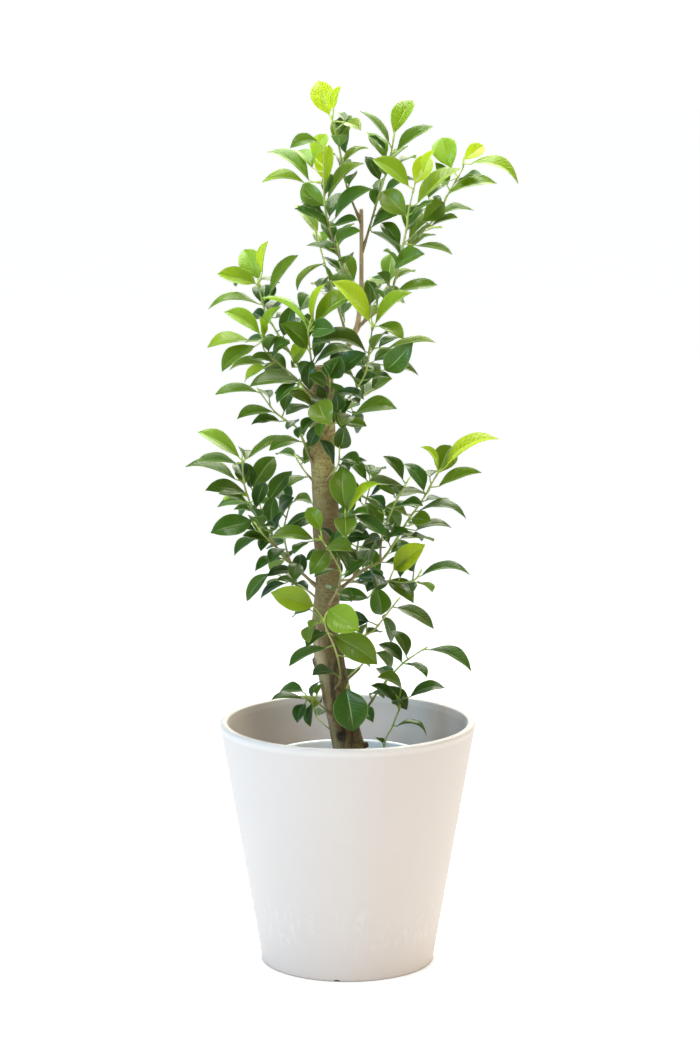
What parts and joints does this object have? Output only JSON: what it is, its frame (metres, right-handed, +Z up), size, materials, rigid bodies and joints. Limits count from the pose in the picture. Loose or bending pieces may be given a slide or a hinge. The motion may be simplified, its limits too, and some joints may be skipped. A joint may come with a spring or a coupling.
{
  "type": "potted chinese banyan",
  "caption": "Small upright banyan tree with leafy side shoots, in a nursery pot that stands inside a white tapered planter.",
  "frame": {"origin": "centre of the planter's underside, on the plane that it stands on", "axes": "+Z up along the planter's axis and the plant's height, -Y towards the front, +X to the right seen from the front"},
  "size_m": [0.4051, 0.3186, 1.096],
  "materials": {
    "planter_resin": "satin",
    "nursery_pot": "satin",
    "potting_soil": "rough crumbly",
    "bark": "rough, finely ringed",
    "foliage": "glossy above, matt below"
  },
  "bodies": {
    "root": {"planter": "planter_resin", "inner_pot": "nursery_pot", "soil": "potting_soil", "trunk": "bark", "shoot_01": "foliage", "shoot_02": "foliage", "shoot_03": "foliage", "shoot_04": "foliage", "shoot_05": "foliage", "shoot_06": "foliage", "shoot_07": "foliage", "shoot_08": "foliage", "shoot_09": "foliage", "shoot_10": "foliage", "shoot_11": "foliage", "shoot_12": "foliage", "shoot_13": "foliage", "shoot_14": "foliage", "shoot_15": "foliage", "shoot_16": "foliage", "shoot_17": "foliage", "shoot_18": "foliage", "shoot_19": "foliage", "shoot_20": "foliage", "shoot_21": "foliage", "shoot_22": "foliage", "shoot_23": "foliage", "shoot_24": "foliage", "shoot_25": "foliage", "shoot_26": "foliage", "shoot_27": "foliage", "shoot_28": "foliage", "shoot_29": "foliage", "shoot_30": "foliage", "shoot_31": "foliage", "shoot_32": "foliage", "shoot_33": "foliage", "shoot_34": "foliage", "shoot_35": "foliage", "shoot_36": "foliage", "shoot_37": "foliage", "shoot_38": "foliage", "shoot_39": "foliage", "shoot_40": "foliage"}
  },
  "joints": []
}
